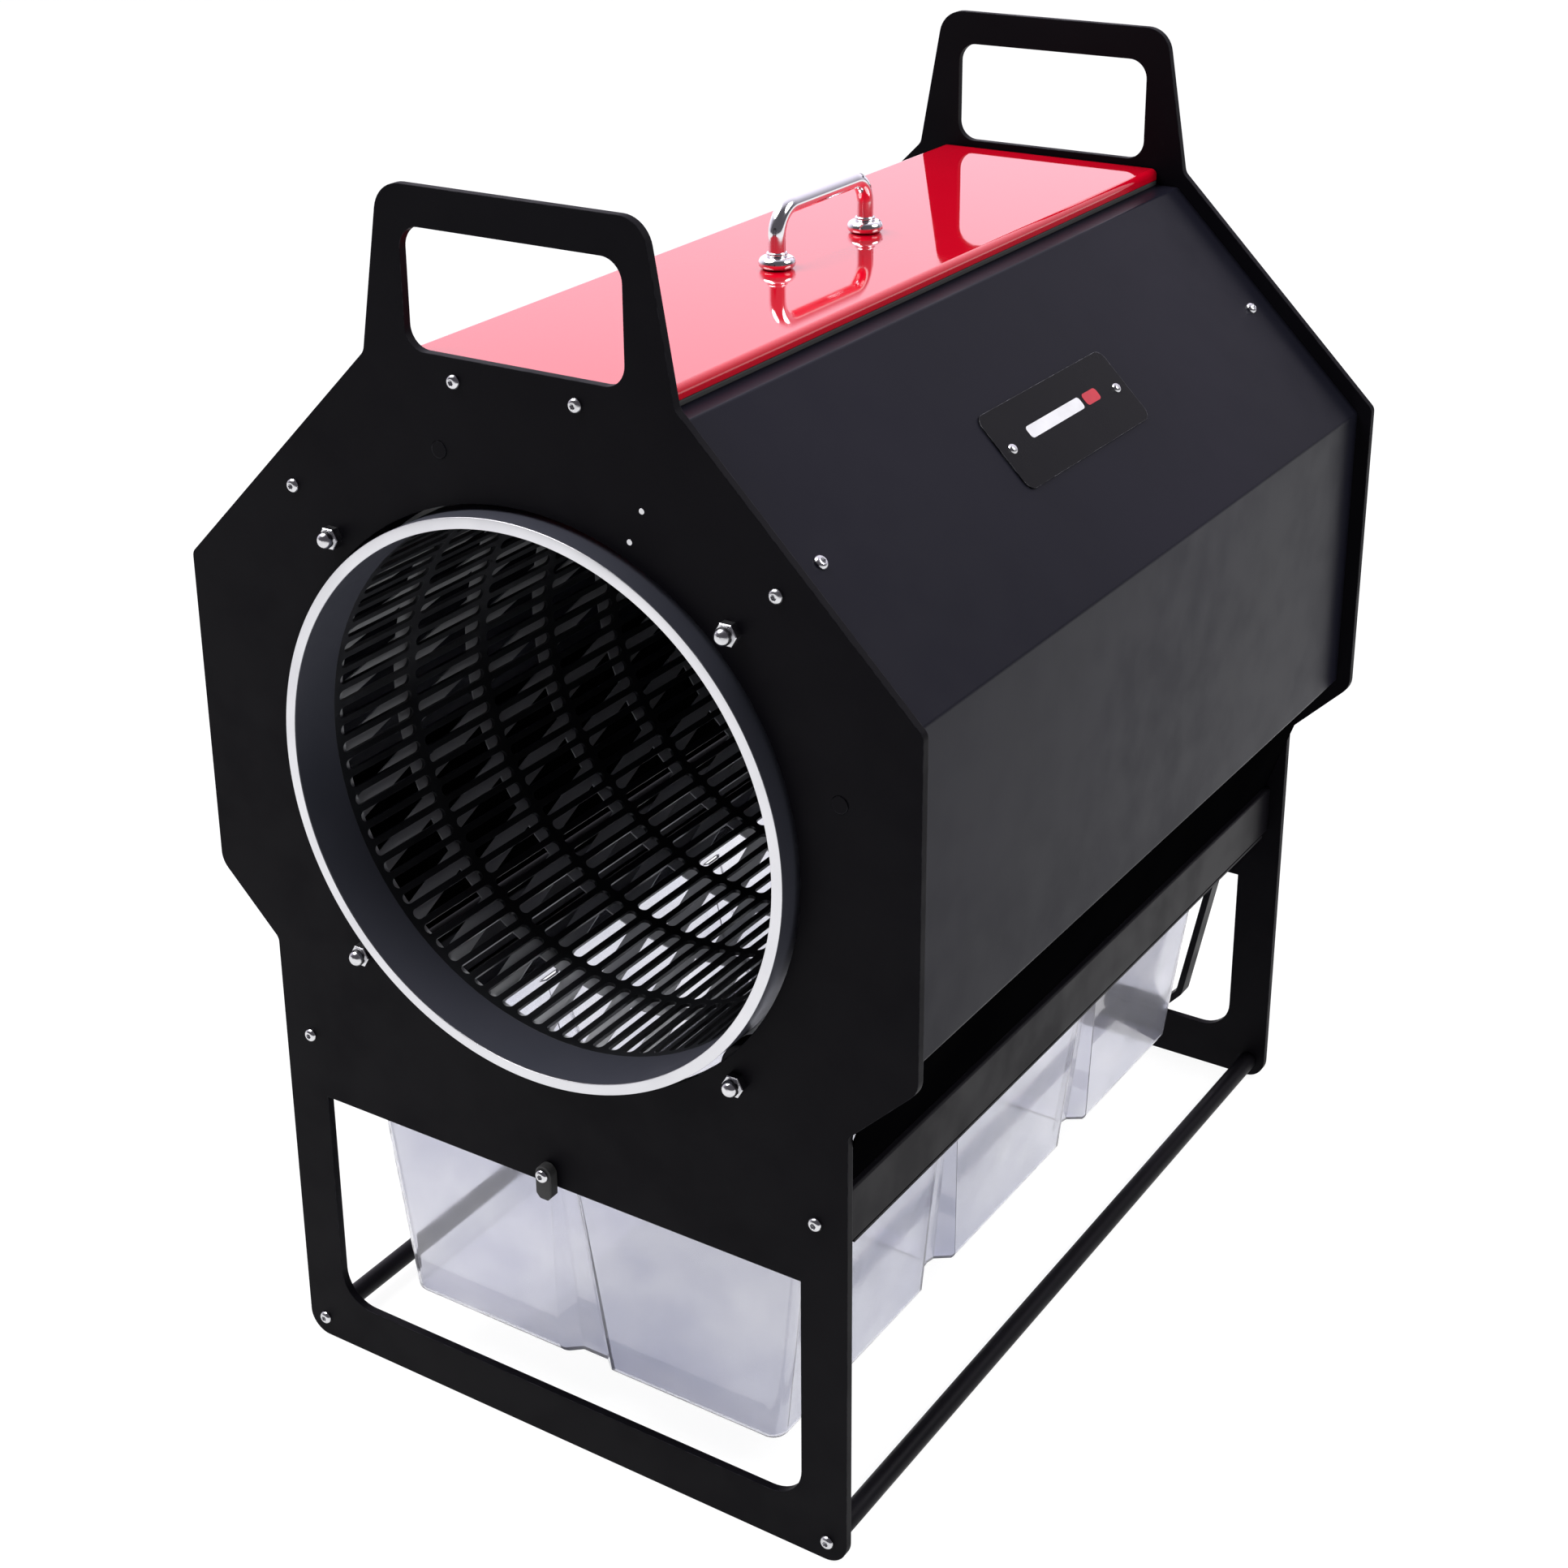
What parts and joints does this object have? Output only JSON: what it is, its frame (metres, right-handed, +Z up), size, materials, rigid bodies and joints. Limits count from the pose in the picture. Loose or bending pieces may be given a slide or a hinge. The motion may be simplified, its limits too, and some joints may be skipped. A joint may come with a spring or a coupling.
{
  "type": "rotary drum tumbler",
  "caption": "Floor-standing tumbler: octagonal end plates carry a slotted drum on rollers above a sliding clear bin, under a lift-off lid.",
  "frame": {"origin": "centre of the footprint's bounding box, on the floor", "axes": "+X right, +Y from the drum's open mouth towards the drive at the rear, +Z up"},
  "size_m": [0.61, 0.8412, 0.962],
  "materials": {
    "plate_black": "satin black powder coat",
    "panel_black": "smooth semi-gloss black",
    "drum_black": "satin black coating",
    "lid_red": "gloss red",
    "rim_steel": "machined bright",
    "stainless": "polished stainless steel",
    "zinc_steel": "plain zinc plated",
    "grip_chrome": "mirror chrome",
    "frame_aluminium": "satin extruded",
    "bin_clear": "clear moulded, smooth",
    "sleeve_frosted": "frosted translucent",
    "moulded_black": "fine moulded grain",
    "rubber_black": "dull",
    "roller_tyre": "smooth polyurethane",
    "badge_black": "gloss black with printed bars"
  },
  "bodies": {
    "frame": {"front_plate": "plate_black", "rear_plate": "plate_black", "hole_plugs": "moulded_black", "spare_pins": "stainless", "rear_window_frame": "plate_black", "left_side_panel": "panel_black", "right_side_panel": "panel_black", "panel_brackets": "zinc_steel", "left_chute": "panel_black", "right_chute": "panel_black", "left_bin_rail": "plate_black", "right_bin_rail": "plate_black", "left_bin_ledge": "plate_black", "right_bin_ledge": "plate_black", "left_tie_rod": "plate_black", "right_tie_rod": "plate_black", "front_plate_screws": "stainless", "rear_plate_screws": "stainless", "panel_screws": "stainless", "nameplate": "badge_black", "nameplate_rivets": "stainless", "lid_seals": "rubber_black", "front_lid_ledge": "frame_aluminium", "rear_lid_ledge": "frame_aluminium", "drive_belt": "rubber_black", "shaft_bearing": "zinc_steel", "gearmotor": "frame_aluminium", "drive_screws": "stainless", "roller_axles": "zinc_steel", "roller_bushes": "zinc_steel", "acorn_nuts": "stainless", "latch_screw": "stainless", "rear_cover": "panel_black", "cover_screws": "stainless", "speed_control": "zinc_steel", "switch_frame": "moulded_black", "power_inlet": "moulded_black"},
    "drum": {"drum_front_collar": "drum_black", "drum_rim_trim": "rim_steel", "drum_rear_collar": "drum_black", "drum_shell": "drum_black", "drum_sleeve": "sleeve_frosted", "drum_end_disc": "drum_black", "drum_shaft": "zinc_steel", "drum_pulley": "frame_aluminium"},
    "roller_ul": {"roller_upper_left": "roller_tyre"},
    "roller_ur": {"roller_upper_right": "roller_tyre"},
    "roller_ll": {"roller_lower_left": "roller_tyre"},
    "roller_lr": {"roller_lower_right": "roller_tyre"},
    "motor_shaft": {"motor_pulley": "frame_aluminium"},
    "lid": {"top_lid": "lid_red", "lid_grip": "grip_chrome", "lid_grip_feet": "grip_chrome", "lid_grip_screws": "stainless"},
    "bin": {"collection_bin": "bin_clear"},
    "latch": {"bin_latch": "moulded_black"},
    "knob": {"speed_knob": "moulded_black"},
    "rocker": {"power_rocker": "moulded_black"}
  },
  "joints": [
    {"name": "drum_spin", "type": "hinge", "parent": "frame", "child": "drum", "pos_m": [0, 0, 0.5386], "axis": [0, 1, 0], "continuous": true},
    {"name": "roller_ul_spin", "type": "hinge", "parent": "frame", "child": "roller_ul", "pos_m": [-0.1653, -0.3844, 0.7039], "axis": [0, 1, 0], "continuous": true},
    {"name": "roller_ur_spin", "type": "hinge", "parent": "frame", "child": "roller_ur", "pos_m": [0.1653, -0.3844, 0.7039], "axis": [0, 1, 0], "continuous": true},
    {"name": "roller_ll_spin", "type": "hinge", "parent": "frame", "child": "roller_ll", "pos_m": [-0.1653, -0.3844, 0.3733], "axis": [0, 1, 0], "continuous": true},
    {"name": "roller_lr_spin", "type": "hinge", "parent": "frame", "child": "roller_lr", "pos_m": [0.1653, -0.3844, 0.3733], "axis": [0, 1, 0], "continuous": true},
    {"name": "motor_spin", "type": "hinge", "parent": "frame", "child": "motor_shaft", "pos_m": [0, 0.3916, 0.33], "axis": [0, 1, 0], "continuous": true},
    {"name": "lid_lift", "type": "slide", "parent": "frame", "child": "lid", "axis": [0, 0, 1], "range_m": [0, 0.15]},
    {"name": "bin_slide", "type": "slide", "parent": "frame", "child": "bin", "axis": [0, -1, 0], "range_m": [0, 0.6]},
    {"name": "latch_turn", "type": "hinge", "parent": "frame", "child": "latch", "pos_m": [0, -0.4054, 0.243], "axis": [0, 1, 0], "range_deg": [0, 90]},
    {"name": "knob_turn", "type": "hinge", "parent": "frame", "child": "knob", "pos_m": [-0.062, 0.4026, 0.26], "axis": [0, -1, 0], "range_deg": [0, 280]},
    {"name": "rocker_tip", "type": "hinge", "parent": "frame", "child": "rocker", "pos_m": [0, 0.4026, 0.26], "axis": [1, 0, 0], "range_deg": [0, 18]}
  ],
  "couplings": [
    {"joint": "roller_ul_spin", "follows": "drum_spin", "ratio": -9.8241},
    {"joint": "roller_ur_spin", "follows": "drum_spin", "ratio": -9.8241},
    {"joint": "roller_ll_spin", "follows": "drum_spin", "ratio": -9.8241},
    {"joint": "roller_lr_spin", "follows": "drum_spin", "ratio": -9.8241},
    {"joint": "motor_spin", "follows": "drum_spin", "ratio": 3.1818}
  ]
}
